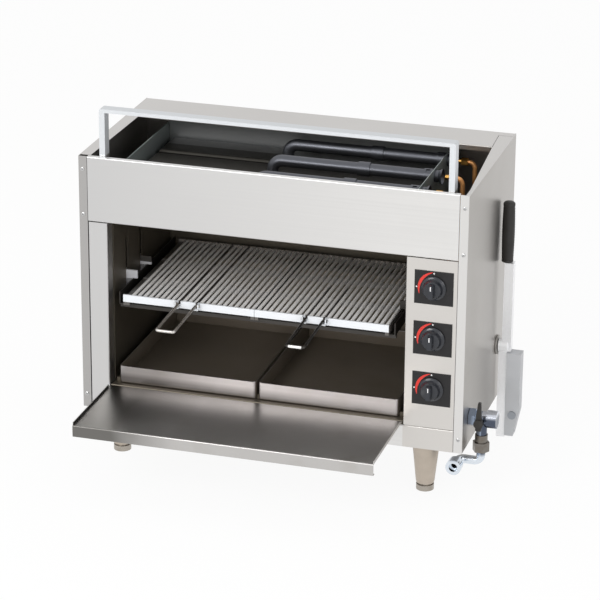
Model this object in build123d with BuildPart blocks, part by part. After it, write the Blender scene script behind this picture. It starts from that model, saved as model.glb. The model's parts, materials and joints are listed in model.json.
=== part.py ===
from build123d import *
from math import cos, radians, sin
import os

# Overhead gas grill for a commercial kitchen: an open-fronted steel cabinet with three
# burners under its roof, two grates on a rack that a side lever raises, two drip trays,
# a drop-down front door and a control column with three gas knobs.
# Millimetres, +Z up, front towards -Y. Sizes are given in the cabinet's own coordinates:
# x from the left side, y from the front and z from the underside of the cabinet.

# Driving sizes of the cabinet
WIDTH = 840
DEPTH = 430
HEIGHT = 568
LEG = 110
SHEET = 1.5
BEND = 2.5

# The front: opening, hood, sill and control column
OPEN_LEFT = 62
OPEN_RIGHT = 712
OPEN_TOP = 425
SILL = 49
DECK = 58
HOOD_LEFT = 20
HOOD_RIGHT = 820
LEFT_RETURN = 19
RIGHT_RETURN = 19
EDGE_RETURN = 30
SEAM = 1

# The open top and its flanges
REAR_FLANGE = 325
FLANGE_WIDE = 28
FLANGE_NARROW = 8
FLANGE_END = 405
FLANGE_END_WIDE = 32
LEFT_FLANGE = 24
HOOD_LIP = 10
FLANGE_FRONT = 12
FOOT_FLANGE = 22

# Guard over the hood
GUARD_LEFT = 44
GUARD_RIGHT = 806
GUARD_WIDE = 12.5
GUARD_DEEP = 25
GUARD_FRONT = 11
GUARD_TOP = 671
GUARD_BAR = 8
GUARD_FOOT = 520

# Inner walls
WALL_BACK = 399
WALL_TOP = 540
LEFT_WALL_TOP = 528
BAFFLE_Y = 396
BAFFLE_LOW = 485
BAFFLE_TOP = 556
BACK_WALL_TOP = 470

# The cavity between the inner side walls
CAVITY_LEFT = OPEN_LEFT + SHEET + 0.2
CAVITY_RIGHT = OPEN_RIGHT - SHEET - 0.2

# Front door
DOOR_TIP = -230
DOOR_HINGE_Y = -5
DOOR_HINGE_Z = 52
DOOR_REAR = -3.2
DOOR_FLANGE = 26
DOOR_RIM = 6
DOOR_PIN = 2.5
DOOR_KNUCKLE = 4.2
HINGE_X = (150, 624)
HINGE_HALF = 26

# Drip trays
TRAY_FRONT = 16
TRAY_BACK = 392
TRAY_TOP = 98
TRAY_SHEET = 1.2
TRAY_X = ((79, 385), (391, 697))

# Grates and their wire handles
GRATE_X = ((88, 379.5), (380.5, 672))
GRATE_FRONT = 20
GRATE_BACK = 388
GRATE_LOW = 236.5
GRATE_TOP = 260
GRATE_RIM_LOW = 244
GRATE_BAR = 4
GRATE_SIDE = 8
GRATE_LEFT_SIDE = 14
GRATE_CROSS_Y = (140, 264)
RIB = 3.6
RIB_INSET = 5.5
RIB_LEFT_INSET = 20
RIB_PITCH = 12.75
STAY = 2.2
STAY_Z = 255.8
STAY_BACK = 205
HANDLE_X = (233.7, 513.5)
HANDLE_HALF = 19.1
HANDLE_WIRE = 3
HANDLE_PIVOT_Y = 13
HANDLE_Z = 256
HANDLE_TIP = -128
HANDLE_TIP_Z = 250
HANDLE_END = 9
HANDLE_BEND = 4.9
EYE = 4.8

# Rack that carries the grates
RACK_LEFT = 76
RACK_RIGHT = 684
RACK_FRONT = 30
RACK_BACK = 392
RACK_TOP = 262
RACK_SEAT = 236.2
RACK_SHEET = 2
RACK_LEDGE = 24
RACK_CROSS = 8
BRACKET_Y = (110, 200)
BRACKET_TOP = 282
BRACKET_LUG = 264
BRACKET_SHEET = 4
SLOT_PLAY = 3
SLOT_LOW = 228

# Lift: side lever, arms and the shaft that keeps both sides level
LIFT = 66
SWING = 45
PIVOT_Y = 306
PIVOT_Z = 128
SYNC_Z = 46
ARM = LIFT / 2 / sin(radians(SWING / 2))
ARM_DROP = LIFT / 2
ROLLER = 7
LIFT_GAP = 1
PLATE_X = 44
PLATE_SHEET = 3
ROD_X = 53.5
ROD_Y = 186
ROD = 5
ROD_LOW = 120
ROD_TOP = 400
BUSH = 7
RUNNING = 0.05
LEVER_X = 853
LEVER_WIDE = 20
TANG = 4.5
LEVER_FRONT = 297
LEVER_BACK = 315
GRIP_LOW = 321
GRIP_TOP = 457
GRIP_X = 857
GRIP = 14
STRIP_OUT = 865
WEIGHT_OUT = 896
WEIGHT_LOW = -80
WEIGHT_TOP = 113
WEIGHT_FRONT = 297
WEIGHT_BACK = 325
WEIGHT_CUT = (12, 60)
WEIGHT_BOLT_X = 881
WEIGHT_BOLT_Z = -30
WEIGHT_BOLT = 9
STRIP_LOW = -85
SHAFT = 8
BEARING = 14

# Controls
KNOB_X = 771
KNOB_Z = (362, 250, 138)
PLATE_WIDE = 82
PLATE_TALL = 73
PLATE_SHEET_OUT = 1.2
KNOB = 26
KNOB_BACK = 2.2
KNOB_FACE = 20
KNOB_BAR = 12
KNOB_BAR_FACE = 32
STEM = 4
STEM_FRONT = -18
STEM_BACK = 38
VALVE_HALF = 14
VALVE_FRONT = 24
VALVE_BACK = 52
VALVE_OUTLET = 62
VALVE_NECK = 9

# Burners and gas line
BURNER_Y = (119, 232, 345)
BURNER_LEFT = 74
BURNER_RIGHT = 700
BURNER_HALF = 48
BURNER_LOW = 440
BURNER_TOP = 496
BURNER_ROUND = 6
PLAQUE_HIGH = 13
PLAQUES = 9
TUBE_Z = 522
TUBE = 13
TUBE_BORE = 11.5
TUBE_DROP_X = 355
TUBE_COLLAR_X = 545
TUBE_MOUTH = 728
SHUTTER_LEFT = 688
SHUTTER_RIGHT = 707
MANIFOLD_X = 806
MANIFOLD_Y = 60
MANIFOLD = 10.5
GAS_Z = 60
MANIFOLD_TOP = 392
SUPPLY = 5
SUPPLY_BEND = 14
INJECTOR_END = 756
PILOT_X = 665
PILOT_Z = 508
PILOT_LOW = 470
PILOT_PIPE = 3
COCK_X = 867
COCK_LOW = 24
COCK_FACE = 34
INLET_X = 820
INLET_Y = 8
INLET_Z = -38
PIPE = 9.5
PIPE_BORE = 7
SOCKET = 16.5
SOCKET_BORE = 9.3
SOCKET_DEEP = 14

# Feet
FOOT_X = (72, 752)
FOOT_Y = (45, 385)
FOOT_TOP_R = 29
FOOT_LOW_R = 20
PAD_HIGH = 16
FOOT_SCREW = 6

# Screws
SCREW = 4
SCREW_HEAD = 2.2
SCREW_SHANK = 8
LEFT_SCREW_X = 9.5
RIGHT_SCREW_X = 831
RETURN_SCREW_Z = (30, 440, 540)
BACK_SCREW_X = (40, 230, 420, 610, 800)
BACK_SCREW_Z = (20, 290, 540)

# Place of the cabinet's corner in the part's frame, so that the origin is on the floor
# under the middle of the whole object
X0 = -WEIGHT_OUT / 2
Y0 = -(DEPTH + SCREW_HEAD + DOOR_TIP) / 2
MIRROR_X = OPEN_LEFT + OPEN_RIGHT


def at(x, y, z):
    """A point of the cabinet in the part's frame."""
    return (X0 + x, Y0 + y, LEG + z)


def block(x0, x1, y0, y1, z0, z1, mode=Mode.ADD):
    """A box between two corners."""
    with Locations(at((x0 + x1) / 2, (y0 + y1) / 2, (z0 + z1) / 2)):
        Box(x1 - x0, y1 - y0, z1 - z0, mode=mode)


def rod(start, end, radius, mode=Mode.ADD):
    """A round bar from one point to another."""
    low = Vector(*at(*start))
    high = Vector(*at(*end))
    with BuildSketch(Plane(origin=low, z_dir=high - low), mode=Mode.PRIVATE) as section:
        Circle(radius)
    extrude(section.sketch, amount=(high - low).length, mode=mode)


def hexagon(start, end, radius, mode=Mode.ADD):
    """A six-sided bar from one point to another."""
    low = Vector(*at(*start))
    high = Vector(*at(*end))
    with BuildSketch(Plane(origin=low, z_dir=high - low), mode=Mode.PRIVATE) as section:
        RegularPolygon(radius, 6)
    extrude(section.sketch, amount=(high - low).length, mode=mode)


def side_plate(points, x0, x1, mode=Mode.ADD):
    """A plate seen from the side, its outline given as y and z."""
    with BuildSketch(Plane.YZ.offset(X0 + x0), mode=Mode.PRIVATE) as face:
        with BuildLine():
            Polyline(*[(Y0 + y, LEG + z) for y, z in points], close=True)
        make_face()
    extrude(face.sketch, amount=x1 - x0, mode=mode)


def front_plate(points, y0, y1, mode=Mode.ADD):
    """A plate seen from the front, its outline given as x and z."""
    with BuildSketch(Plane.XZ.offset(-(Y0 + y0)), mode=Mode.PRIVATE) as face:
        with BuildLine():
            Polyline(*[(X0 + x, LEG + z) for x, z in points], close=True)
        make_face()
    extrude(face.sketch, amount=-(y1 - y0), mode=mode)


def level_plate(points, z0, z1, mode=Mode.ADD):
    """A plate seen from above, its outline given as x and y."""
    with BuildSketch(Plane.XY.offset(LEG + z0), mode=Mode.PRIVATE) as face:
        with BuildLine():
            Polyline(*[(X0 + x, Y0 + y) for x, y in points], close=True)
        make_face()
    extrude(face.sketch, amount=z1 - z0, mode=mode)


def upright_fold(points, z0, z1, side=Side.LEFT, thickness=SHEET):
    """A sheet folded along upright lines, its path given as x and y."""
    with BuildSketch(Plane.XY.offset(LEG + z0), mode=Mode.PRIVATE) as section:
        with BuildLine():
            FilletPolyline(*[(X0 + x, Y0 + y) for x, y in points], radius=BEND)
            offset(amount=thickness, side=side)
        make_face()
    extrude(section.sketch, amount=z1 - z0)


def level_fold(points, x0, x1, side=Side.LEFT, thickness=SHEET):
    """A sheet folded along lines from left to right, its path given as y and z."""
    with BuildSketch(Plane.YZ.offset(X0 + x0), mode=Mode.PRIVATE) as section:
        with BuildLine():
            FilletPolyline(*[(Y0 + y, LEG + z) for y, z in points], radius=BEND)
            offset(amount=thickness, side=side)
        make_face()
    extrude(section.sketch, amount=x1 - x0)


def pipe(points, radius, bend, bore=0):
    """A pipe along a path of straight runs and bends."""
    route = [Vector(*at(*point)) for point in points]
    with BuildLine(mode=Mode.PRIVATE) as path:
        FilletPolyline(*route, radius=bend)
    with BuildSketch(Plane(origin=route[0], z_dir=route[1] - route[0]), mode=Mode.PRIVATE) as section:
        Circle(radius)
        if bore:
            Circle(bore, mode=Mode.SUBTRACT)
    sweep(section.sketch, path=path.wire())


def screw_back(x, y, z):
    """A pan-head screw that goes in towards the back."""
    rod((x, y, z), (x, y - SCREW_HEAD, z), SCREW)
    rod((x, y, z), (x, y + SCREW_SHANK, z), SCREW / 2)


def save(builder, name):
    """Label one finished piece and write it."""
    builder.part.label = name
    export_step(builder.part, f"parts/{name}.step")
    print(name, round(builder.part.volume))


os.makedirs("parts", exist_ok=True)

# Left side panel, folded round the front, with a flange along its top
with BuildPart() as left_side_panel:
    upright_fold([(LEFT_RETURN, 0), (0, 0), (0, DEPTH)], 0, HEIGHT, side=Side.RIGHT)
    level_plate([(1, FLANGE_FRONT), (LEFT_FLANGE, FLANGE_FRONT), (LEFT_FLANGE + 5, REAR_FLANGE - SEAM),
                 (1, REAR_FLANGE - SEAM)], HEIGHT - SHEET, HEIGHT)
    block(1, FOOT_FLANGE, EDGE_RETURN + 2, DEPTH - 4, SHEET, 2 * SHEET)
    for z in RETURN_SCREW_Z:
        rod((LEFT_SCREW_X, -1, z), (LEFT_SCREW_X, 3, z), SCREW / 2 + RUNNING, mode=Mode.SUBTRACT)
save(left_side_panel, "left_side_panel")

# Right side panel, with holes for the lever shaft and the gas pipe
with BuildPart() as right_side_panel:
    upright_fold([(WIDTH, DEPTH), (WIDTH, 0), (WIDTH - RIGHT_RETURN, 0)], 0, HEIGHT, side=Side.RIGHT)
    level_plate([(WIDTH - 1, 2), (WIDTH - 1, FLANGE_END), (WIDTH - FLANGE_END_WIDE, FLANGE_END),
                 (WIDTH - FLANGE_WIDE, REAR_FLANGE - SEAM), (WIDTH - FLANGE_NARROW, 40),
                 (WIDTH - FLANGE_NARROW, 2)], HEIGHT - SHEET, HEIGHT)
    block(WIDTH - FOOT_FLANGE, WIDTH - 1, EDGE_RETURN + 2, DEPTH - 4, SHEET, 2 * SHEET)
    for z in RETURN_SCREW_Z:
        rod((RIGHT_SCREW_X, -1, z), (RIGHT_SCREW_X, 3, z), SCREW / 2 + RUNNING, mode=Mode.SUBTRACT)
    rod((WIDTH - 5, PIVOT_Y, PIVOT_Z), (WIDTH + 5, PIVOT_Y, PIVOT_Z), BEARING, mode=Mode.SUBTRACT)
    rod((WIDTH - 5, MANIFOLD_Y, GAS_Z), (WIDTH + 5, MANIFOLD_Y, GAS_Z), MANIFOLD + 1, mode=Mode.SUBTRACT)
save(right_side_panel, "right_side_panel")

# Back panel, folded forward into the wide flange behind the open top
with BuildPart() as back_panel:
    with BuildSketch(Plane.YZ.offset(X0 + SHEET + 0.1)) as section:
        with BuildLine():
            FilletPolyline(
                (Y0 + DEPTH, LEG), (Y0 + DEPTH, LEG + HEIGHT), (Y0 + REAR_FLANGE, LEG + HEIGHT),
                (Y0 + REAR_FLANGE, LEG + HEIGHT - 12), radius=BEND)
            offset(amount=SHEET, side=Side.LEFT)
        make_face()
    extrude(amount=WIDTH - 2 * SHEET - 0.2)
    level_plate([(WIDTH + 1, REAR_FLANGE - 2), (WIDTH + 1, FLANGE_END + SEAM),
                 (WIDTH - FLANGE_END_WIDE - SEAM, FLANGE_END + SEAM),
                 (WIDTH - FLANGE_WIDE - SEAM, REAR_FLANGE - 2)],
                HEIGHT - 14, HEIGHT + 1, mode=Mode.SUBTRACT)
    for x in BACK_SCREW_X:
        for z in BACK_SCREW_Z:
            rod((x, DEPTH - 3, z), (x, DEPTH + 1, z), SCREW / 2 + RUNNING, mode=Mode.SUBTRACT)
save(back_panel, "back_panel")

# Hood panel over the opening, with a narrow lip at the top and one at the bottom
with BuildPart() as hood_panel:
    level_fold([(HOOD_LIP, HEIGHT), (0, HEIGHT), (0, OPEN_TOP), (EDGE_RETURN / 2, OPEN_TOP)],
               HOOD_LEFT, HOOD_RIGHT)
save(hood_panel, "hood_panel")

# Stile left of the opening
with BuildPart() as left_stile:
    upright_fold([(HOOD_LEFT, 12), (HOOD_LEFT, 0), (OPEN_LEFT, 0), (OPEN_LEFT, EDGE_RETURN)],
                 SHEET, OPEN_TOP - SEAM)
save(left_stile, "left_stile")

# Control panel, with holes for the three knob stems
with BuildPart() as control_panel:
    upright_fold([(OPEN_RIGHT, EDGE_RETURN), (OPEN_RIGHT, 0), (HOOD_RIGHT, 0)], SILL + SEAM, OPEN_TOP - SEAM)
    for z in KNOB_Z:
        rod((KNOB_X, -1, z), (KNOB_X, 5, z), 2 * STEM, mode=Mode.SUBTRACT)
save(control_panel, "control_panel")

# Fascia under the opening and the control panel
with BuildPart() as base_fascia:
    level_fold([(EDGE_RETURN, SILL), (0, SILL), (0, 0)], OPEN_LEFT + SHEET + SEAM, HOOD_RIGHT)
save(base_fascia, "base_fascia")

# Base pan that carries the feet, with an upturned edge
with BuildPart() as base_pan:
    block(SHEET, WIDTH - SHEET, SHEET + BEND, DEPTH - SHEET, 0, SHEET)
    block(SHEET + BEND, WIDTH - SHEET - BEND, SHEET, SHEET + BEND + 1, 0, SHEET)
    block(FLANGE_WIDE + 2, WIDTH - FLANGE_WIDE - 2, DEPTH - 2 * SHEET, DEPTH - SHEET, 0, 12)
    block(OPEN_LEFT + 3, OPEN_RIGHT, SHEET, 2 * SHEET, 0, 18)
save(base_pan, "base_pan")

# Deck under the trays, with its three guide rails
with BuildPart() as tray_deck:
    level_fold([(2, SILL + SEAM), (2, DECK), (WALL_BACK - 1, DECK)], CAVITY_LEFT, CAVITY_RIGHT,
               side=Side.RIGHT)
    for left, right in ((70, 77.5), (386.2, 389.8), (698.5, 706)):
        block(left, right, TRAY_FRONT + 8, TRAY_BACK, DECK - 0.2, DECK + 9)
save(tray_deck, "tray_deck")


def inner_wall(x0, x1, top):
    """A side wall of the cavity, with slots for the rack brackets and a hole for the shaft."""
    block(x0, x1, EDGE_RETURN + 2, WALL_BACK, SHEET, top)
    for y in BRACKET_Y:
        block(x0 - 1, x1 + 1, y - SLOT_PLAY, y + BRACKET_SHEET + SLOT_PLAY, SLOT_LOW, BRACKET_TOP + LIFT + 6,
              mode=Mode.SUBTRACT)
    rod((x0 - 1, PIVOT_Y, SYNC_Z), (x1 + 1, PIVOT_Y, SYNC_Z), SHAFT, mode=Mode.SUBTRACT)


# Inner side walls
with BuildPart() as inner_left_wall:
    inner_wall(OPEN_LEFT, OPEN_LEFT + SHEET, LEFT_WALL_TOP)
save(inner_left_wall, "inner_left_wall")

with BuildPart() as inner_right_wall:
    inner_wall(OPEN_RIGHT - SHEET, OPEN_RIGHT, WALL_TOP)
    for y in BURNER_Y:
        rod((OPEN_RIGHT - 5, y, TUBE_Z), (OPEN_RIGHT + 5, y, TUBE_Z), TUBE + 2, mode=Mode.SUBTRACT)
    rod((OPEN_RIGHT - 5, MANIFOLD_Y, PILOT_Z), (OPEN_RIGHT + 5, MANIFOLD_Y, PILOT_Z), 4, mode=Mode.SUBTRACT)
save(inner_right_wall, "inner_right_wall")

# Inner back wall of the cavity
with BuildPart() as inner_back_wall:
    block(CAVITY_LEFT, CAVITY_RIGHT, WALL_BACK + 0.2, WALL_BACK + SHEET, SHEET, BACK_WALL_TOP)
save(inner_back_wall, "inner_back_wall")

# Baffle between the burners and the rear flange
with BuildPart() as rear_baffle:
    level_fold([(BAFFLE_Y, BAFFLE_LOW), (BAFFLE_Y, BAFFLE_TOP), (BAFFLE_Y + 26, BAFFLE_TOP)],
               OPEN_LEFT + SHEET + 1, OPEN_RIGHT - SHEET - 1, side=Side.RIGHT)
save(rear_baffle, "rear_baffle")

# Rails that the burners lie on, one in front and one behind
with BuildPart() as burner_rails:
    for y0, y1, lip0, lip1 in ((56, 58, 58, 76), (393.3, 395.3, 385, 393.3)):
        block(CAVITY_LEFT, CAVITY_RIGHT, y0, y1, 428, 452)
        block(CAVITY_LEFT, CAVITY_RIGHT, lip0 - 0.1, lip1, 436, 438)
save(burner_rails, "burner_rails")


def burner(y):
    """A long burner box, open below, with a flange round its rim and a hole on top for the gas."""
    block(BURNER_LEFT, BURNER_RIGHT, y - BURNER_HALF, y + BURNER_HALF, BURNER_LOW, BURNER_TOP)
    top_edges = edges().group_by(Axis.Z)[-1]
    fillet(top_edges, BURNER_ROUND)
    block(BURNER_LEFT + SHEET, BURNER_RIGHT - SHEET, y - BURNER_HALF + SHEET, y + BURNER_HALF - SHEET,
          BURNER_LOW - 1, BURNER_TOP - SHEET - 2, mode=Mode.SUBTRACT)
    rod((TUBE_DROP_X, y, BURNER_TOP - 8), (TUBE_DROP_X, y, BURNER_TOP + 1), TUBE + 0.2, mode=Mode.SUBTRACT)
    for x in (BURNER_LEFT + 3, BURNER_RIGHT - 9):
        block(x, x + 6, y - BURNER_HALF + SHEET, y + BURNER_HALF - SHEET,
              BURNER_LOW + PLAQUE_HIGH + 1, BURNER_LOW + PLAQUE_HIGH + 3)


with BuildPart() as front_burner:
    burner(BURNER_Y[0])
save(front_burner, "front_burner")

with BuildPart() as middle_burner:
    burner(BURNER_Y[1])
save(middle_burner, "middle_burner")

with BuildPart() as rear_burner:
    burner(BURNER_Y[2])
save(rear_burner, "rear_burner")

# Ceramic plaques, a row in each burner's mouth
with BuildPart() as ceramic_plaques:
    pitch = (BURNER_RIGHT - BURNER_LEFT - 4) / PLAQUES
    for y in BURNER_Y:
        for index in range(PLAQUES):
            left = BURNER_LEFT + 2 + index * pitch
            block(left + 0.6, left + pitch - 0.6, y - BURNER_HALF + 2, y + BURNER_HALF - 2,
                  BURNER_LOW, BURNER_LOW + PLAQUE_HIGH)
save(ceramic_plaques, "ceramic_plaques")

# Mixing tubes: from a flared mouth in the control column to the middle of each burner
with BuildPart() as mixing_tubes:
    for y in BURNER_Y:
        pipe([(TUBE_MOUTH - 8, y, TUBE_Z), (TUBE_DROP_X, y, TUBE_Z), (TUBE_DROP_X, y, BURNER_TOP - 4)],
             TUBE, 22, bore=TUBE_BORE)
        flare_x = X0 + TUBE_MOUTH
        flare_z = LEG + TUBE_Z
        with BuildSketch(Plane.XZ.offset(-(Y0 + y))) as flare:
            with BuildLine():
                Polyline((flare_x - 8, flare_z + TUBE_BORE), (flare_x, flare_z + TUBE_BORE + 5),
                         (flare_x, flare_z + TUBE + 5), (flare_x - 8, flare_z + TUBE), close=True)
            make_face()
        revolve(axis=Axis((X0, Y0 + y, LEG + TUBE_Z), (1, 0, 0)))
        with BuildSketch(Plane.YZ.offset(X0 + TUBE_COLLAR_X)) as collar:
            with Locations((Y0 + y, LEG + TUBE_Z)):
                Circle(TUBE + 2.5)
                Circle(TUBE - 0.5, mode=Mode.SUBTRACT)
        extrude(amount=26)
save(mixing_tubes, "mixing_tubes")


def air_shutter(y):
    """A sleeve with three windows that turns on the mixing tube."""
    rod((SHUTTER_LEFT, y, TUBE_Z), (SHUTTER_RIGHT, y, TUBE_Z), TUBE + 2)
    rod((SHUTTER_LEFT - 1, y, TUBE_Z), (SHUTTER_RIGHT + 1, y, TUBE_Z), TUBE + RUNNING, mode=Mode.SUBTRACT)
    for angle in (30, 150, 270):
        with Locations(Location(at((SHUTTER_LEFT + SHUTTER_RIGHT) / 2, y, TUBE_Z), (angle, 0, 0))):
            with Locations((0, 0, TUBE + 1)):
                Box(9, 10, 6, mode=Mode.SUBTRACT)


# Air shutters on the mixing tubes
with BuildPart() as front_air_shutter:
    air_shutter(BURNER_Y[0])
save(front_air_shutter, "front_air_shutter")

with BuildPart() as middle_air_shutter:
    air_shutter(BURNER_Y[1])
save(middle_air_shutter, "middle_air_shutter")

with BuildPart() as rear_air_shutter:
    air_shutter(BURNER_Y[2])
save(rear_air_shutter, "rear_air_shutter")

# Brass injectors that blow gas into the tubes
with BuildPart() as injectors:
    for y in BURNER_Y:
        hexagon((INJECTOR_END - 14, y, TUBE_Z), (INJECTOR_END, y, TUBE_Z), 9)
        rod((INJECTOR_END - 22, y, TUBE_Z), (INJECTOR_END - 14, y, TUBE_Z), 5)
        rod((INJECTOR_END - 23, y, TUBE_Z), (INJECTOR_END + 1, y, TUBE_Z), 1, mode=Mode.SUBTRACT)
save(injectors, "injectors")

# Gas pipes: three from the valves to the injectors and a thin one to the pilot light
with BuildPart() as gas_pipes:
    for y, z in zip(BURNER_Y[:2], KNOB_Z[:2]):
        pipe([(KNOB_X, VALVE_OUTLET, z), (KNOB_X, y, z), (KNOB_X, y, TUBE_Z), (INJECTOR_END, y, TUBE_Z)],
             SUPPLY, SUPPLY_BEND)
    rear_y = BURNER_Y[2]
    low_z = KNOB_Z[2]
    pipe([(KNOB_X, VALVE_OUTLET, low_z), (KNOB_X, 92, low_z), (KNOB_X, 92, low_z + 36),
          (KNOB_X, rear_y, low_z + 36), (KNOB_X, rear_y, TUBE_Z), (INJECTOR_END, rear_y, TUBE_Z)],
         SUPPLY, SUPPLY_BEND)
    pipe([(MANIFOLD_X, MANIFOLD_Y, MANIFOLD_TOP + 10), (MANIFOLD_X, MANIFOLD_Y, PILOT_LOW),
          (MANIFOLD_X - 60, MANIFOLD_Y, PILOT_LOW), (MANIFOLD_X - 60, MANIFOLD_Y, PILOT_Z),
          (PILOT_X, MANIFOLD_Y, PILOT_Z), (PILOT_X, MANIFOLD_Y, PILOT_LOW)], PILOT_PIPE, 12)
    rod((PILOT_X, MANIFOLD_Y, PILOT_LOW + 1), (PILOT_X, MANIFOLD_Y, PILOT_LOW - 17), PILOT_PIPE + 2)
save(gas_pipes, "gas_pipes")

# Manifold: the upright gas pipe behind the control panel
with BuildPart() as gas_manifold:
    pipe([(WIDTH + 1, MANIFOLD_Y, GAS_Z), (MANIFOLD_X, MANIFOLD_Y, GAS_Z),
          (MANIFOLD_X, MANIFOLD_Y, MANIFOLD_TOP)], MANIFOLD, 20)
    hexagon((MANIFOLD_X, MANIFOLD_Y, MANIFOLD_TOP), (MANIFOLD_X, MANIFOLD_Y, MANIFOLD_TOP + 10), MANIFOLD + 2)
save(gas_manifold, "gas_manifold")

# Valve bodies on the manifold, one behind each knob
with BuildPart() as valve_bodies:
    for z in KNOB_Z:
        block(KNOB_X - VALVE_HALF, KNOB_X + VALVE_HALF, VALVE_FRONT, VALVE_BACK,
              z - VALVE_HALF, z + VALVE_HALF)
        hexagon((KNOB_X, VALVE_BACK, z), (KNOB_X, VALVE_OUTLET, z), VALVE_NECK)
        rod((KNOB_X, VALVE_FRONT, z), (KNOB_X, VALVE_FRONT / 2, z), VALVE_NECK)
        rod((KNOB_X, VALVE_FRONT / 2 - 1, z), (KNOB_X, STEM_BACK + 2, z), STEM + RUNNING, mode=Mode.SUBTRACT)
        elbow = (KNOB_X + VALVE_HALF + 8, VALVE_BACK - 4, z)
        rod((KNOB_X + VALVE_HALF - 1, VALVE_BACK - 12, z), elbow, VALVE_NECK - 3)
        rod(elbow, (MANIFOLD_X - 7, MANIFOLD_Y - 4, z), VALVE_NECK - 3)
    rod((MANIFOLD_X, MANIFOLD_Y, KNOB_Z[2] - 20), (MANIFOLD_X, MANIFOLD_Y, KNOB_Z[0] + 20), MANIFOLD,
        mode=Mode.SUBTRACT)
save(valve_bodies, "valve_bodies")

# Knob plates on the control panel
with BuildPart() as knob_plates:
    for z in KNOB_Z:
        block(KNOB_X - PLATE_WIDE / 2, KNOB_X + PLATE_WIDE / 2, -PLATE_SHEET_OUT, 0,
              z - PLATE_TALL / 2, z + PLATE_TALL / 2)
        rod((KNOB_X, -2, z), (KNOB_X, 1, z), 2 * STEM, mode=Mode.SUBTRACT)
save(knob_plates, "knob_plates")


def knob(z):
    """A round knob with a skirt and a grip bar across its face."""
    middle = LEG + z
    with BuildSketch(Plane.YZ.offset(X0 + KNOB_X), mode=Mode.PRIVATE) as half:
        with BuildLine():
            Polyline((Y0 - KNOB_BACK, middle), (Y0 - KNOB_BACK, middle + KNOB), (Y0 - 6, middle + KNOB),
                     (Y0 - 9, middle + KNOB - 5), (Y0 - KNOB_FACE, middle + KNOB - 8),
                     (Y0 - KNOB_FACE, middle), close=True)
        make_face()
    revolve(half.sketch, axis=Axis((X0 + KNOB_X, Y0, middle), (0, 1, 0)))
    block(KNOB_X - KNOB_BAR / 2, KNOB_X + KNOB_BAR / 2, -KNOB_BAR_FACE, 1 - KNOB_FACE,
          z - KNOB + 10.5, z + KNOB - 10.5)
    fillet(edges().filter_by(Axis.Y).filter_by_position(Axis.Y, Y0 - 27, Y0 - 24), 4)
    fillet(faces().sort_by(Axis.Y)[0].edges(), 1.5)
    rod((KNOB_X, -2, z), (KNOB_X, STEM_FRONT, z), STEM, mode=Mode.SUBTRACT)


def knob_stem(z):
    """The round stem that turns in the valve, with its end in the knob."""
    rod((KNOB_X, STEM_BACK, z), (KNOB_X, STEM_FRONT, z), STEM)


with BuildPart() as upper_knob:
    knob(KNOB_Z[0])
save(upper_knob, "upper_knob")

with BuildPart() as middle_knob:
    knob(KNOB_Z[1])
save(middle_knob, "middle_knob")

with BuildPart() as lower_knob:
    knob(KNOB_Z[2])
save(lower_knob, "lower_knob")

with BuildPart() as upper_knob_stem:
    knob_stem(KNOB_Z[0])
save(upper_knob_stem, "upper_knob_stem")

with BuildPart() as middle_knob_stem:
    knob_stem(KNOB_Z[1])
save(middle_knob_stem, "middle_knob_stem")

with BuildPart() as lower_knob_stem:
    knob_stem(KNOB_Z[2])
save(lower_knob_stem, "lower_knob_stem")

# Guard frame over the hood: two posts and a bar
with BuildPart() as guard_frame:
    guard_back = GUARD_FRONT + GUARD_DEEP
    for left in (GUARD_LEFT, GUARD_RIGHT - GUARD_WIDE):
        block(left, left + GUARD_WIDE, GUARD_FRONT, guard_back, GUARD_FOOT, GUARD_TOP)
    block(GUARD_LEFT, GUARD_RIGHT, GUARD_FRONT, guard_back, GUARD_TOP - GUARD_BAR, GUARD_TOP)
    fillet(edges().filter_by(Axis.Y).group_by(Axis.Z)[-1], 4)
    for x in (GUARD_LEFT + GUARD_WIDE / 2, GUARD_RIGHT - GUARD_WIDE / 2):
        block(x - 4, x + 4, SHEET, GUARD_FRONT + 0.1, 530, 546)
save(guard_frame, "guard_frame")

# Front door: a shallow plate with a deep front flange, side rims and two knuckles
door_left = OPEN_LEFT + 1.5
door_right = OPEN_RIGHT - 1.5
with BuildPart() as front_door:
    level_fold([(DOOR_REAR, DECK), (DOOR_TIP, DECK), (DOOR_TIP, DECK - DOOR_FLANGE),
                (DOOR_TIP + 10, DECK - DOOR_FLANGE)], door_left, door_right)
    for x in (door_left, door_right - SHEET):
        block(x, x + SHEET, DOOR_TIP + 3, DOOR_REAR - 12, DECK - SHEET, DECK + DOOR_RIM)
    for x in HINGE_X:
        start = x - HINGE_HALF + 5
        end = x + HINGE_HALF - 5
        rod((start, DOOR_HINGE_Y, DOOR_HINGE_Z), (end, DOOR_HINGE_Y, DOOR_HINGE_Z), DOOR_KNUCKLE)
        block(start, end, DOOR_HINGE_Y - 3, DOOR_HINGE_Y, DOOR_HINGE_Z + 3, DECK - 1)
        rod((start - 5, DOOR_HINGE_Y, DOOR_HINGE_Z), (end + 5, DOOR_HINGE_Y, DOOR_HINGE_Z),
            DOOR_PIN + RUNNING, mode=Mode.SUBTRACT)
save(front_door, "front_door")

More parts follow.
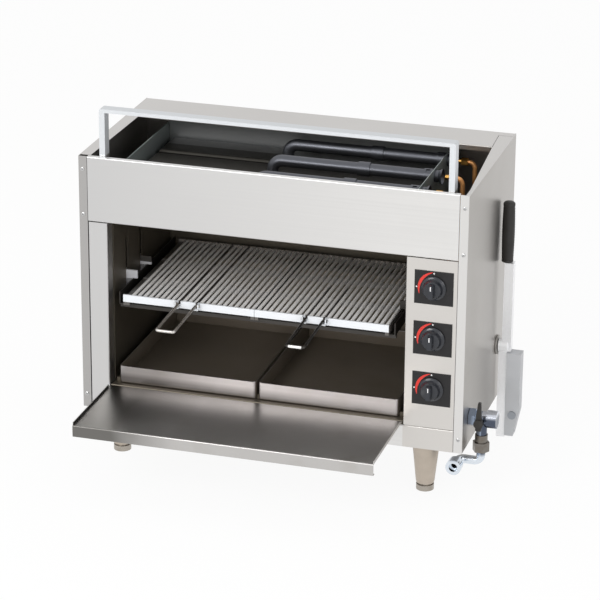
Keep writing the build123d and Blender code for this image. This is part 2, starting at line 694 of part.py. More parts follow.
# Door hinges: lugs on the fascia, with an arm that stops the open door, and the pin welded in
with BuildPart() as door_hinges:
    for x in HINGE_X:
        block(x - HINGE_HALF, x + HINGE_HALF, -2, 0, 24, 44)
        for left in (x - HINGE_HALF, x + HINGE_HALF - 4):
            side_plate([(0, 30), (0, DOOR_HINGE_Z - 3.5), (-1.2, DOOR_HINGE_Z - 2.7), (-1.5, DOOR_HINGE_Z),
                        (-2.4, DOOR_HINGE_Z + 2.4), (DOOR_HINGE_Y, DOOR_HINGE_Z + 3.4),
                        (DOOR_HINGE_Y - 3.5, DOOR_HINGE_Z + 3.8), (-24, DOOR_HINGE_Z + 3.8),
                        (-24, DOOR_HINGE_Z - 4)], left, left + 4)
        rod((x - HINGE_HALF + 1, DOOR_HINGE_Y, DOOR_HINGE_Z),
            (x + HINGE_HALF - 1, DOOR_HINGE_Y, DOOR_HINGE_Z), DOOR_PIN)
save(door_hinges, "door_hinges")


def drip_tray(left, right):
    """An open tray with rounded corners and a turned-out rim at the front."""
    floor = DECK + 0.4
    block(left, right, TRAY_FRONT, TRAY_BACK, floor, TRAY_TOP)
    fillet(edges().filter_by(Axis.Z), 5)
    fillet(faces().sort_by(Axis.Z)[0].edges(), 3)
    block(left + TRAY_SHEET, right - TRAY_SHEET, TRAY_FRONT + TRAY_SHEET, TRAY_BACK - TRAY_SHEET,
          floor + TRAY_SHEET, TRAY_TOP + 1, mode=Mode.SUBTRACT)
    block(left + 6, right - 6, TRAY_FRONT - 2.5, TRAY_FRONT + 0.2, TRAY_TOP - 3, TRAY_TOP)


# Drip trays
with BuildPart() as left_drip_tray:
    drip_tray(*TRAY_X[0])
save(left_drip_tray, "left_drip_tray")

with BuildPart() as right_drip_tray:
    drip_tray(*TRAY_X[1])
save(right_drip_tray, "right_drip_tray")


def grate(left, right, handle_x, left_side, left_inset):
    """A grate of round ribs between a front and a back bar, with the eyes and stays of its handle."""
    block(left, right, GRATE_FRONT, GRATE_FRONT + GRATE_BAR, GRATE_RIM_LOW, GRATE_TOP)
    block(left, right, GRATE_BACK - GRATE_BAR, GRATE_BACK, GRATE_RIM_LOW, GRATE_TOP)
    for x, wide in ((left, left_side), (right - GRATE_SIDE, GRATE_SIDE)):
        block(x, x + wide, GRATE_FRONT + 1, GRATE_BACK - 1, GRATE_LOW, GRATE_LOW + 14)
    for y in GRATE_CROSS_Y:
        block(left + 2, right - 2, y, y + 6, GRATE_LOW + 6, GRATE_TOP - 2 * RIB + 1)
    first = left + left_inset
    spaces = round((right - RIB_INSET - first) / RIB_PITCH)
    pitch = (right - RIB_INSET - first) / spaces
    for index in range(spaces + 1):
        x = first + index * pitch
        rod((x, GRATE_FRONT + 2, GRATE_TOP - RIB), (x, GRATE_BACK - 2, GRATE_TOP - RIB), RIB)
    for side in (-1, 1):
        wire_x = handle_x + side * HANDLE_HALF
        rod((wire_x, GRATE_FRONT + 1, STAY_Z), (wire_x, STAY_BACK, STAY_Z), STAY)
        near, far = sorted((wire_x + side * 5, wire_x + side * 7.5))
        block(near, far, HANDLE_PIVOT_Y - EYE, GRATE_FRONT + 1, HANDLE_Z - EYE, HANDLE_Z + EYE)
        rod((near - 1, HANDLE_PIVOT_Y, HANDLE_Z), (far + 1, HANDLE_PIVOT_Y, HANDLE_Z),
            HANDLE_WIRE + RUNNING, mode=Mode.SUBTRACT)
        inner, outer = sorted((wire_x - side * 3, wire_x + side * 7.5))
        block(inner, outer, HANDLE_PIVOT_Y - 9, GRATE_FRONT + 1, HANDLE_Z - EYE - 2.5, HANDLE_Z - EYE + 0.8)


def grate_handle(x):
    """A long wire loop, a little lower at its tip, whose ends turn in the grate's eyes."""
    end = HANDLE_HALF + HANDLE_END
    pipe([(x - end, HANDLE_PIVOT_Y, HANDLE_Z), (x - HANDLE_HALF, HANDLE_PIVOT_Y, HANDLE_Z),
          (x - HANDLE_HALF, HANDLE_TIP, HANDLE_TIP_Z), (x + HANDLE_HALF, HANDLE_TIP, HANDLE_TIP_Z),
          (x + HANDLE_HALF, HANDLE_PIVOT_Y, HANDLE_Z), (x + end, HANDLE_PIVOT_Y, HANDLE_Z)],
         HANDLE_WIRE, HANDLE_BEND)


# Grates and handles
with BuildPart() as left_grate:
    grate(*GRATE_X[0], HANDLE_X[0], GRATE_LEFT_SIDE, RIB_LEFT_INSET)
save(left_grate, "left_grate")

with BuildPart() as right_grate:
    grate(*GRATE_X[1], HANDLE_X[1], GRATE_SIDE, RIB_INSET)
save(right_grate, "right_grate")

with BuildPart() as left_grate_handle:
    grate_handle(HANDLE_X[0])
save(left_grate_handle, "left_grate_handle")

with BuildPart() as right_grate_handle:
    grate_handle(HANDLE_X[1])
save(right_grate_handle, "right_grate_handle")

# Rack: angle rails left and right, a flat rail in the middle, two cross bars and the brackets
with BuildPart() as rack_frame:
    rack_low = RACK_SEAT - RACK_SHEET
    rack_middle = (RACK_LEFT + RACK_RIGHT) / 2
    for left in (RACK_LEFT, RACK_RIGHT - RACK_SHEET):
        block(left, left + RACK_SHEET, RACK_FRONT, RACK_BACK, rack_low, RACK_TOP)
    for left, wide in ((RACK_LEFT, RACK_LEDGE), (rack_middle - 8, 16), (RACK_RIGHT - RACK_LEDGE, RACK_LEDGE)):
        block(left, left + wide, RACK_FRONT, RACK_BACK, rack_low, RACK_SEAT)
    for y in (RACK_FRONT + 6, RACK_BACK - 14):
        block(RACK_LEFT, RACK_RIGHT, y, y + RACK_CROSS, rack_low - RACK_CROSS, rack_low + 0.1)
    plate_right = MIRROR_X - PLATE_X - PLATE_SHEET
    for y in BRACKET_Y:
        block(PLATE_X + PLATE_SHEET, RACK_LEFT + 1, y, y + BRACKET_SHEET, rack_low, BRACKET_TOP)
        block(RACK_LEFT, RACK_LEFT + 12, y, y + BRACKET_SHEET, BRACKET_LUG, BRACKET_TOP)
        block(RACK_RIGHT - 1, plate_right, y, y + BRACKET_SHEET, rack_low, BRACKET_TOP)
        block(RACK_RIGHT - 12, RACK_RIGHT, y, y + BRACKET_SHEET, BRACKET_LUG, BRACKET_TOP)
save(rack_frame, "rack_frame")

# Lift plates beside the inner walls, each with a bush that runs on its guide rod
arm_y = PIVOT_Y + ARM * cos(radians(SWING / 2))
plate_low = SYNC_Z - ARM_DROP + ROLLER + LIFT_GAP
ledge_low = PIVOT_Z - ARM_DROP + ROLLER + LIFT_GAP


def lift_plate(x0, x1, bush_x0, bush_x1, rod_x):
    """A tapered plate that the arms push up, with the bush on it."""
    side_plate([(96, 276), (96, 232), (250, 200), (arm_y - 26, 120), (arm_y - 26, plate_low),
                (396, plate_low), (396, 276)], x0, x1)
    block(bush_x0, bush_x1, ROD_Y - 11, ROD_Y + 11, 238, 266)
    rod((rod_x, ROD_Y, 237), (rod_x, ROD_Y, 267), ROD + RUNNING, mode=Mode.SUBTRACT)


with BuildPart() as left_lift_plate:
    lift_plate(PLATE_X, PLATE_X + PLATE_SHEET, PLATE_X + 1, ROD_X + BUSH, ROD_X)
save(left_lift_plate, "left_lift_plate")

right_plate = MIRROR_X - PLATE_X
with BuildPart() as right_lift_plate:
    lift_plate(right_plate - PLATE_SHEET, right_plate, MIRROR_X - ROD_X - BUSH, right_plate - 1,
               MIRROR_X - ROD_X)
    block(right_plate - 1, right_plate + 12, arm_y - 14, 396, ledge_low, ledge_low + 10)
save(right_lift_plate, "right_lift_plate")

# Guide rods on the inner walls, each held by two blocks
with BuildPart() as guide_rods:
    for rod_x, x0, x1 in ((ROD_X, PLATE_X + 4, OPEN_LEFT), (MIRROR_X - ROD_X, OPEN_RIGHT, right_plate - 4)):
        rod((rod_x, ROD_Y, ROD_LOW), (rod_x, ROD_Y, ROD_TOP), ROD)
        for z in (ROD_LOW, ROD_TOP - 10):
            block(x0, x1, ROD_Y - 8, ROD_Y + 8, z, z + 10)
save(guide_rods, "guide_rods")


def arm_and_roller(x0, x1, roller_x0, roller_x1, z):
    """A crank arm that points back and down, with a roller on its end."""
    end = (arm_y, z - ARM_DROP)
    with BuildSketch(Plane.YZ.offset(X0 + x0), mode=Mode.PRIVATE) as arm:
        with Locations((Y0 + PIVOT_Y, LEG + z)):
            Circle(SHAFT + 6)
        with Locations((Y0 + end[0], LEG + end[1])):
            Circle(ROLLER - 1)
        with Locations(Location(((Y0 + (PIVOT_Y + end[0]) / 2, LEG + z - ARM_DROP / 2)), (0, 0, -SWING / 2))):
            Rectangle(ARM, 2 * (ROLLER - 1))
    extrude(arm.sketch, amount=x1 - x0)
    rod((roller_x0, *end), (roller_x1, *end), ROLLER)


# Shaft that joins the arms of both sides under the deck
with BuildPart() as level_shaft:
    rod((24, PIVOT_Y, SYNC_Z), (752, PIVOT_Y, SYNC_Z), SHAFT - 2)
    arm_and_roller(34, 38, 37, 50, SYNC_Z)
    arm_and_roller(736, 740, 724, 737, SYNC_Z)
save(level_shaft, "level_shaft")

# Lever shaft through the right side, with the arm that lifts the rack
with BuildPart() as lever_shaft:
    rod((740, PIVOT_Y, PIVOT_Z), (866, PIVOT_Y, PIVOT_Z), SHAFT)
    arm_and_roller(744, 748, 732, 745, PIVOT_Z)
save(lever_shaft, "lever_shaft")

# Bearings: a flanged bush in the right side and two brackets on the base pan
with BuildPart() as shaft_bearings:
    rod((828, PIVOT_Y, PIVOT_Z), (WIDTH, PIVOT_Y, PIVOT_Z), BEARING)
    rod((WIDTH, PIVOT_Y, PIVOT_Z), (WIDTH + 4, PIVOT_Y, PIVOT_Z), BEARING + 7)
    rod((827, PIVOT_Y, PIVOT_Z), (WIDTH + 5, PIVOT_Y, PIVOT_Z), SHAFT + RUNNING, mode=Mode.SUBTRACT)
    for x in (25, 743):
        side_plate([(PIVOT_Y - 30, SHEET), (PIVOT_Y - 14, SYNC_Z + 8), (PIVOT_Y - 8, SYNC_Z + 10),
                    (PIVOT_Y + 8, SYNC_Z + 10), (PIVOT_Y + 14, SYNC_Z + 8), (PIVOT_Y + 30, SHEET)], x, x + 8)
        rod((x - 1, PIVOT_Y, SYNC_Z), (x + 9, PIVOT_Y, SYNC_Z), SHAFT - 2 + RUNNING, mode=Mode.SUBTRACT)
save(shaft_bearings, "shaft_bearings")

# Lift lever: a bar over the pivot, a thin tang for the grip and a strip for the weight below
with BuildPart() as lift_lever:
    block(LEVER_X, LEVER_X + LEVER_WIDE, LEVER_FRONT, LEVER_BACK, PIVOT_Z - 10, GRIP_LOW - 1)
    block(LEVER_X, LEVER_X + TANG, LEVER_FRONT, LEVER_BACK, GRIP_LOW - 2, GRIP_TOP - 12)
    rod((WIDTH + 6, PIVOT_Y, PIVOT_Z), (WIDTH + 26, PIVOT_Y, PIVOT_Z), SHAFT + 7)
    block(WIDTH + 6, STRIP_OUT, PIVOT_Y - 6, PIVOT_Y + 6, STRIP_LOW, PIVOT_Z - 9)
    rod((WIDTH + 5, PIVOT_Y, PIVOT_Z), (WIDTH + 27, PIVOT_Y, PIVOT_Z), SHAFT, mode=Mode.SUBTRACT)
save(lift_lever, "lift_lever")

# Grip on the lever
with BuildPart() as lever_grip:
    rod((GRIP_X, PIVOT_Y, GRIP_LOW), (GRIP_X, PIVOT_Y, GRIP_TOP), GRIP)
    fillet(edges().filter_by(GeomType.CIRCLE), 4)
    block(LEVER_X, LEVER_X + TANG, LEVER_FRONT, LEVER_BACK, GRIP_LOW - 1, GRIP_TOP - 12,
          mode=Mode.SUBTRACT)
save(lever_grip, "lever_grip")

# Counterweight bolted to the strip, with one corner cut off
with BuildPart() as counterweight:
    front_plate([(STRIP_OUT, WEIGHT_TOP), (WEIGHT_OUT, WEIGHT_TOP), (WEIGHT_OUT, WEIGHT_LOW + WEIGHT_CUT[1]),
                 (WEIGHT_OUT - WEIGHT_CUT[0], WEIGHT_LOW), (STRIP_OUT, WEIGHT_LOW)],
                WEIGHT_FRONT, WEIGHT_BACK)
    rod((WEIGHT_BOLT_X, WEIGHT_FRONT, WEIGHT_BOLT_Z), (WEIGHT_BOLT_X, WEIGHT_FRONT - 4, WEIGHT_BOLT_Z),
        WEIGHT_BOLT)
save(counterweight, "counterweight")

# Gas cock outside the right side: nut, body, end barrel, the port below and the stem in front
with BuildPart() as gas_cock_body:
    hexagon((WIDTH + 1, MANIFOLD_Y, GAS_Z), (WIDTH + 15, MANIFOLD_Y, GAS_Z), 20)
    rod((WIDTH + 14, MANIFOLD_Y, GAS_Z), (WIDTH + 39, MANIFOLD_Y, GAS_Z), 15)
    rod((WIDTH + 39, MANIFOLD_Y, GAS_Z), (WIDTH + 60, MANIFOLD_Y, GAS_Z), 19)
    rod((COCK_X, MANIFOLD_Y, GAS_Z), (COCK_X, MANIFOLD_Y, COCK_LOW), 11.5)
    rod((COCK_X, MANIFOLD_Y, GAS_Z), (COCK_X, COCK_FACE, GAS_Z), 9)
    rod((COCK_X, COCK_FACE, GAS_Z), (COCK_X, COCK_FACE - 8, GAS_Z), STEM)
save(gas_cock_body, "gas_cock_body")

# Handle of the gas cock: a hub with a long tapered wing, turning on the stem
with BuildPart() as gas_cock_handle:
    front_plate([(COCK_X - 6, GAS_Z - 16), (COCK_X + 6, GAS_Z - 16), (COCK_X + 6.5, GAS_Z + 8),
                 (COCK_X + 4.5, GAS_Z + 48), (COCK_X - 1.5, GAS_Z + 48), (COCK_X - 6.5, GAS_Z + 8)],
                COCK_FACE - 9, COCK_FACE - 3)
    fillet(edges().filter_by(Axis.Y), 1.4)
    rod((COCK_X, COCK_FACE - 0.4, GAS_Z), (COCK_X, COCK_FACE - 11, GAS_Z), 10)
    rod((COCK_X, COCK_FACE, GAS_Z), (COCK_X, COCK_FACE - 8.4, GAS_Z), STEM + RUNNING, mode=Mode.SUBTRACT)
save(gas_cock_handle, "gas_cock_handle")

# Inlet pipe from the socket under the front corner up to the cock
with BuildPart() as gas_inlet_pipe:
    pipe([(COCK_X, MANIFOLD_Y, COCK_LOW), (COCK_X, MANIFOLD_Y, INLET_Z), (INLET_X, MANIFOLD_Y, INLET_Z),
          (INLET_X, INLET_Y + SOCKET_DEEP + 4, INLET_Z)], PIPE, 14, bore=PIPE_BORE)
save(gas_inlet_pipe, "gas_inlet_pipe")

# Union nut with its collar on the upright run
with BuildPart() as union_nut:
    hexagon((COCK_X, MANIFOLD_Y, -14), (COCK_X, MANIFOLD_Y, 7), 18)
    rod((COCK_X, MANIFOLD_Y, 6), (COCK_X, MANIFOLD_Y, COCK_LOW - 0.4), 13.5)
    rod((COCK_X, MANIFOLD_Y, -15), (COCK_X, MANIFOLD_Y, COCK_LOW), PIPE, mode=Mode.SUBTRACT)
save(union_nut, "union_nut")

# Inlet socket, open to the front
with BuildPart() as inlet_socket:
    stop = INLET_Y + SOCKET_DEEP
    rod((INLET_X, INLET_Y, INLET_Z), (INLET_X, stop + 10, INLET_Z), SOCKET)
    rod((INLET_X, INLET_Y - 1, INLET_Z), (INLET_X, stop, INLET_Z), SOCKET_BORE, mode=Mode.SUBTRACT)
    rod((INLET_X, INLET_Y, INLET_Z), (INLET_X, stop + 5, INLET_Z), PIPE_BORE, mode=Mode.SUBTRACT)
    rod((INLET_X, stop + 4, INLET_Z), (INLET_X, stop + 11, INLET_Z), PIPE, mode=Mode.SUBTRACT)
save(inlet_socket, "inlet_socket")

# Feet: a flanged tapered post and an adjusting pad screwed into it
with BuildPart() as foot_posts:
    for x in FOOT_X:
        middle = X0 + x
        top = middle + FOOT_TOP_R
        low = middle + FOOT_LOW_R
        for y in FOOT_Y:
            with BuildSketch(Plane.XZ.offset(-(Y0 + y))) as profile:
                with BuildLine():
                    Polyline((middle, LEG), (top + 5, LEG), (top + 5, LEG - 3), (top, LEG - 3),
                             (top - 1, LEG - 14), (low, PAD_HIGH + 4), (low - 1, PAD_HIGH),
                             (middle, PAD_HIGH), close=True)
                make_face()
            revolve(axis=Axis((middle, Y0 + y, 0), (0, 0, 1)))
            rod((x, y, PAD_HIGH - LEG - 1), (x, y, PAD_HIGH - LEG + 22), FOOT_SCREW, mode=Mode.SUBTRACT)
save(foot_posts, "foot_posts")

with BuildPart() as foot_pads:
    for x in FOOT_X:
        for y in FOOT_Y:
            rod((x, y, -LEG), (x, y, PAD_HIGH - LEG - 4), FOOT_LOW_R - 1)
            rod((x, y, PAD_HIGH - LEG - 4), (x, y, PAD_HIGH - LEG), FOOT_LOW_R - 5)
            rod((x, y, PAD_HIGH - LEG), (x, y, PAD_HIGH - LEG + 20), FOOT_SCREW)
save(foot_pads, "foot_pads")

# Screws of the front returns and the back panel
with BuildPart() as panel_screws:
    for x in (LEFT_SCREW_X, RIGHT_SCREW_X):
        for z in RETURN_SCREW_Z:
            screw_back(x, 0, z)
    for x in BACK_SCREW_X:
        for z in BACK_SCREW_Z:
            rod((x, DEPTH, z), (x, DEPTH + SCREW_HEAD, z), SCREW)
            rod((x, DEPTH, z), (x, DEPTH - SCREW_SHANK, z), SCREW / 2)
save(panel_screws, "panel_screws")
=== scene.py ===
import json
from math import cos, pi, radians, sin

import bmesh
import bpy
from mathutils import Matrix, Vector


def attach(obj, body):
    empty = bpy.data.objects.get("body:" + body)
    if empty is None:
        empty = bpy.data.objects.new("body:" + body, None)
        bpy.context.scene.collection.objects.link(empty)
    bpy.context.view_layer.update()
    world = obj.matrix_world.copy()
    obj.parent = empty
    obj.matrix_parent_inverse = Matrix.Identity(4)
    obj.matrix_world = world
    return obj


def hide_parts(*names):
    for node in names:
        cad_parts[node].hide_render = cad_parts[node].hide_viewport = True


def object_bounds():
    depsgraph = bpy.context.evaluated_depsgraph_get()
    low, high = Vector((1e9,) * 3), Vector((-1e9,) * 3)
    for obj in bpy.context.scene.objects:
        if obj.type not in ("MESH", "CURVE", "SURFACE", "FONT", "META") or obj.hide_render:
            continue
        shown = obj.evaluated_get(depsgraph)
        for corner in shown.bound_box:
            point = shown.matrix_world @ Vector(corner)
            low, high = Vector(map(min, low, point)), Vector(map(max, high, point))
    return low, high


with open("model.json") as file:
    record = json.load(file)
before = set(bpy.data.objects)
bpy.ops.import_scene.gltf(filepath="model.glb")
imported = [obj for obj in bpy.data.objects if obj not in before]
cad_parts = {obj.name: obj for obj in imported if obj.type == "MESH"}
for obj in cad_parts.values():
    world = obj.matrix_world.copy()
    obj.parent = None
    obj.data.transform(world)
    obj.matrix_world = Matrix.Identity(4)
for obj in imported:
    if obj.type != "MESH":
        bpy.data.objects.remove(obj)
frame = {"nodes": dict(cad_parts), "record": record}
cad_box = [list(corner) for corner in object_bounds()]

# The cabinet's corner in the part's frame, in millimetres: its left side is the object's left
# end, and the open door reaches out in front of it
DOOR_REACH = 230
X0 = cad_box[0][0] * 1000
Y0 = cad_box[0][1] * 1000 + DOOR_REACH
LEG = 110.0

KNOB_X = 771
KNOB_Z = (362, 250, 138)
KNOB_NAMES = ("upper", "middle", "lower")


def at(x, y, z):
    """A point given in the cabinet's millimetres, in metres."""
    return Vector(((X0 + x) / 1000, (Y0 + y) / 1000, (LEG + z) / 1000))


# Materials


class Shader:
    """A node material with one Principled shader and short ways to add nodes."""

    def __init__(self, name, colour, roughness, metallic=0.0):
        self.material = bpy.data.materials.new(name)
        self.material.use_nodes = True
        self.tree = self.material.node_tree
        self.shader = self.tree.nodes["Principled BSDF"]
        self.colour = (*colour, 1)
        self.set("Base Color", self.colour)
        self.set("Roughness", roughness)
        self.set("Metallic", metallic)
        self.point = self.node("ShaderNodeTexCoord").outputs["Object"]

    def set(self, socket, value):
        self.shader.inputs[socket].default_value = value

    def link(self, output, socket):
        self.tree.links.new(output, self.shader.inputs[socket])

    def feed(self, socket, value):
        """Link another node's output to a socket, or set a constant on it."""
        if isinstance(value, bpy.types.NodeSocket):
            self.tree.links.new(value, socket)
        else:
            socket.default_value = value

    def node(self, kind, **inputs):
        made = self.tree.nodes.new(kind)
        for key, value in inputs.items():
            self.feed(made.inputs[key], value)
        return made

    def split(self, axis):
        return self.node("ShaderNodeSeparateXYZ", Vector=self.point).outputs[axis]

    def noise(self, scale, detail, stretch=None):
        """Noise of the object's coordinates, which may be stretched along each axis."""
        vector = self.point
        if stretch:
            vector = self.node("ShaderNodeMapping", Vector=vector, Scale=stretch).outputs["Vector"]
        return self.node("ShaderNodeTexNoise", Vector=vector, Scale=scale, Detail=detail).outputs["Fac"]

    def ramp(self, value, low, high, to_low=0.0, to_high=1.0):
        made = self.node("ShaderNodeMapRange", Value=value)
        for key, number in zip(("From Min", "From Max", "To Min", "To Max"), (low, high, to_low, to_high)):
            made.inputs[key].default_value = number
        return made.outputs["Result"]

    def maths(self, operation, first, second=0.0):
        made = self.tree.nodes.new("ShaderNodeMath")
        made.operation = operation
        self.feed(made.inputs[0], first)
        self.feed(made.inputs[1], second)
        return made.outputs[0]

    def tint(self, factor, colour):
        """Mix another colour into the base colour by a factor."""
        made = self.tree.nodes.new("ShaderNodeMix")
        made.data_type = "RGBA"
        self.feed(made.inputs[0], factor)
        self.feed(made.inputs[6], self.colour)
        self.feed(made.inputs[7], (*colour, 1))
        self.colour = made.outputs[2]
        self.link(self.colour, "Base Color")
        return self

    def roughen(self, factor, low, high):
        self.link(self.ramp(factor, 0.3, 0.7, low, high), "Roughness")
        return self

    def bump(self, height, strength, distance):
        made = self.node("ShaderNodeBump", Strength=strength, Distance=distance, Height=height)
        self.link(made.outputs["Normal"], "Normal")
        return self


def scaled(colour, factor):
    return tuple(min(1.0, c * factor) for c in colour)


# Places of the masks in the materials, in metres. Several give a surface the shade that the
# photo shows there, with its light and reflections, and not a change of the real surface.
LEFT_X = at(30, 0, 0).x
RIGHT_X = at(750, 0, 0).x
COLUMN_X = at(712, 0, 0).x
HOOD_LOW_Z = at(0, 0, 425).z
TOP_Z = at(0, 0, 568).z
FRONT_Y = at(0, 0, 0).y
BAFFLE_Y = at(0, 394, 0).y
BURNER_BACK_Y = at(0, 346, 0).y
BURNER_LOW_Z = at(0, 0, 440).z
DOOR_REFLECTION_X = (at(150, 0, 0).x, at(285, 0, 0).x)
DOOR_SHADE_Y = (at(0, -75, 0).y, at(0, -35, 0).y)
TRAY_INNER_Y = at(0, 17.2, 0).y
TRAY_RIM_Z = at(0, 0, 97.5).z
TRAY_FOOT_Z = at(0, 0, 72).z
GRATE_GAP_X = at(380, 0, 0).x
GRATE_RIM_Y = at(0, 24.2, 0).y
GRATE_BACK_Y = at(0, 382, 0).y
GRATE_BAR_Z = at(0, 0, 254.1).z
GRATE_FOOT_Z = at(0, 0, 243.8).z
STAY_X = [at(x, 0, 0).x for x in (214.6, 252.8, 494.4, 532.6)]
STAY_LOW_Z = at(0, 0, 253.2).z
HANDLE_TIP_Y = at(0, -131, 0).y
RIGHT_HANDLE_X = at(513.5, 0, 0).x
RACK_LEFT_X = at(75, 0, 0).x
LUG_X = at(90, 0, 0).x
LUG_Z = at(0, 0, 263).z
REAR_LUG_Y = at(0, 150, 0).y
REAR_LUG_TOP_Z = at(0, 0, 269).z
OUTSIDE_X = at(840.5, 0, 0).x
BARREL_X = at(868, 0, 0).x
BARREL_Z = at(0, 0, 64).z
WEIGHT_FRONT_Y = at(0, 297, 0).y
INLET_Z = (at(0, 0, -18).z, at(0, 0, -26).z)
SIDE_FADE_Y = (-0.05, 0.32)
MIDDLE_X = (-0.01, 0.01)
GRATE_FADE_Y = ((-0.03, 0.10), (0.05, 0.27))
STAY_HALF = (0.0026, 0.0023)
TIP_HALF = (0.0145, 0.0125)

# Heights between which heat tint grows, in metres
CAVITY_HEAT_Z = (0.2, 0.55)
BURNER_HEAT_Z = (0.5, 0.62)
TUBE_HEAT_Z = (0.6, 0.66)

# Scales of the brushed lines along x, y and z
GRAIN = {
    "across": (1.2, 1.2, 240),
    "upright": (240, 1.2, 1.2),
    "back": (240, 1.2, 240),
    "flat": (1.2, 240, 1.2),
}


def steel(name, colour, rough, grain, metallic=1.0, streak=0.12):
    """Brushed stainless steel: fine lines, faint clouds and hand marks."""
    s = Shader(name, colour, rough[0], metallic)
    lines = s.noise(1.0, 2.0, stretch=GRAIN[grain])
    clouds = s.noise(7.0, 4.0)
    s.tint(s.ramp(lines, 0.35, 0.7, 0, streak), scaled(colour, 0.72))
    s.tint(s.ramp(clouds, 0.45, 0.75, 0, 0.12), scaled(colour, 0.80))
    s.roughen(s.noise(3.0, 5.0), *rough)
    s.bump(lines, 0.04, 0.0003)
    return s


def heated(s, amount, colour, low_z, high_z):
    """Heat tint that grows towards the burners and in patches."""
    height = s.ramp(s.split("Z"), low_z, high_z, 0.15, 1.0)
    patches = s.ramp(s.noise(9.0, 5.0), 0.3, 0.7, 0.35, 1.0)
    s.tint(s.ramp(s.maths("MULTIPLY", height, patches), 0.0, 1.0, 0.0, amount), colour)
    return s


def front_steel():
    """Satin sheet with painted shade darkening it to the left, warmer on the control column, bluish on the
    guard.
    """
    s = steel("front_steel", (0.80, 0.79, 0.775), (0.30, 0.40), "across")
    # painted shade: darker towards the left end
    s.tint(s.ramp(s.split("X"), RIGHT_X, LEFT_X), (0.64, 0.635, 0.63))
    column = s.maths("MULTIPLY", s.ramp(s.split("X"), COLUMN_X - 0.001, COLUMN_X),
                     s.ramp(s.split("Z"), HOOD_LOW_Z, HOOD_LOW_Z - 0.002))
    s.tint(column, (0.69, 0.665, 0.635))
    guard = s.ramp(s.split("Z"), TOP_Z + 0.0005, TOP_Z + 0.0015)
    s.tint(guard, (0.60, 0.62, 0.64))
    s.link(s.ramp(guard, 0, 1, 1.0, 0.35), "Metallic")
    return s.material


def side_steel():
    """Side and back sheet with painted light: paler to the back, on the front fold and on the top flanges.
    """
    s = steel("side_steel", (0.42, 0.40, 0.375), (0.32, 0.42), "back")
    # painted light: paler towards the back
    s.tint(s.ramp(s.split("Y"), *SIDE_FADE_Y, 0, 0.6), (0.52, 0.50, 0.48))
    # painted light on the top flanges, which face up
    s.tint(s.ramp(s.split("Z"), TOP_Z - 0.0012, TOP_Z - 0.0004), (0.56, 0.545, 0.53))
    # painted light on the front folds, most on the right one
    fold = s.ramp(s.split("Y"), FRONT_Y + 0.0014, FRONT_Y + 0.0006)
    right_fold = s.maths("MULTIPLY", fold, s.ramp(s.split("X"), *MIDDLE_X))
    s.tint(fold, (0.46, 0.45, 0.44))
    return s.tint(right_fold, (0.74, 0.73, 0.715)).material


def cavity_steel():
    """Browned by heat, with a bluish film beside the burners."""
    s = steel("cavity_steel", (0.17, 0.15, 0.12), (0.38, 0.55), "back", metallic=0.85)
    heated(s, 0.75, (0.085, 0.07, 0.05), *CAVITY_HEAT_Z)
    return s.tint(s.ramp(s.split("Z"), BURNER_LOW_Z, BURNER_LOW_Z + 0.02), (0.34, 0.38, 0.375)).material


def burner_steel():
    """Burner boxes browned by heat and the paler baffle, whose shade starts on the last burner."""
    s = steel("burner_steel", (0.046, 0.044, 0.039), (0.38, 0.55), "flat", metallic=0.9)
    heated(s, 0.5, (0.030, 0.027, 0.023), *BURNER_HEAT_Z)
    s.tint(s.ramp(s.split("Y"), BURNER_BACK_Y, BURNER_BACK_Y + 0.003), (0.15, 0.15, 0.148))
    return s.tint(s.ramp(s.split("Y"), BAFFLE_Y, BAFFLE_Y + 0.001), (0.255, 0.26, 0.26)).material


def ceramic():
    s = Shader("ceramic", (0.66, 0.56, 0.45), 0.9)
    holes = s.node("ShaderNodeTexVoronoi", Vector=s.point, Scale=360.0, Randomness=0.0).outputs["Distance"]
    s.tint(s.ramp(holes, 0.30, 0.24, 0, 0.9), (0.10, 0.07, 0.05))
    s.tint(s.ramp(s.noise(25.0, 4.0), 0.45, 0.75, 0, 0.6), (0.30, 0.22, 0.16))
    s.bump(s.ramp(holes, 0.22, 0.32), 0.5, 0.0008)
    return s.material


def tube_steel():
    s = steel("tube_steel", (0.13, 0.135, 0.15), (0.3, 0.5), "upright", metallic=0.9)
    return heated(s, 0.4, (0.07, 0.07, 0.085), *TUBE_HEAT_Z).material


def turned_brass():
    s = Shader("turned_brass", (0.80, 0.45, 0.12), 0.3, 1.0)
    s.tint(s.ramp(s.noise(60.0, 4.0), 0.45, 0.7, 0, 0.5), (0.55, 0.28, 0.08))
    s.roughen(s.noise(30.0, 3.0), 0.22, 0.4)
    return s.bump(s.noise(1.0, 2.0, stretch=(900, 40, 900)), 0.05, 0.0003).material


def copper_pipe():
    s = Shader("copper_pipe", (0.98, 0.48, 0.17), 0.35, 0.7)
    s.tint(s.ramp(s.noise(20.0, 5.0), 0.4, 0.7, 0, 0.5), (0.46, 0.20, 0.09))
    return s.roughen(s.noise(12.0, 3.0), 0.25, 0.5).material


def manifold_steel():
    s = Shader("manifold_steel", (0.40, 0.40, 0.41), 0.45, 0.9)
    s.tint(s.ramp(s.noise(40.0, 4.0), 0.45, 0.7, 0, 0.6), (0.24, 0.24, 0.25))
    return s.bump(s.noise(260.0, 2.0), 0.08, 0.0004).material


def knob_plate():
    s = Shader("knob_plate", (0.012, 0.0115, 0.012), 0.4)
    s.set("Specular IOR Level", 0.35)
    s.tint(s.ramp(s.noise(90.0, 3.0), 0.5, 0.8, 0, 0.5), (0.020, 0.019, 0.021))
    s.roughen(s.noise(40.0, 3.0), 0.35, 0.5)
    return s.bump(s.noise(900.0, 2.0), 0.05, 0.0002).material


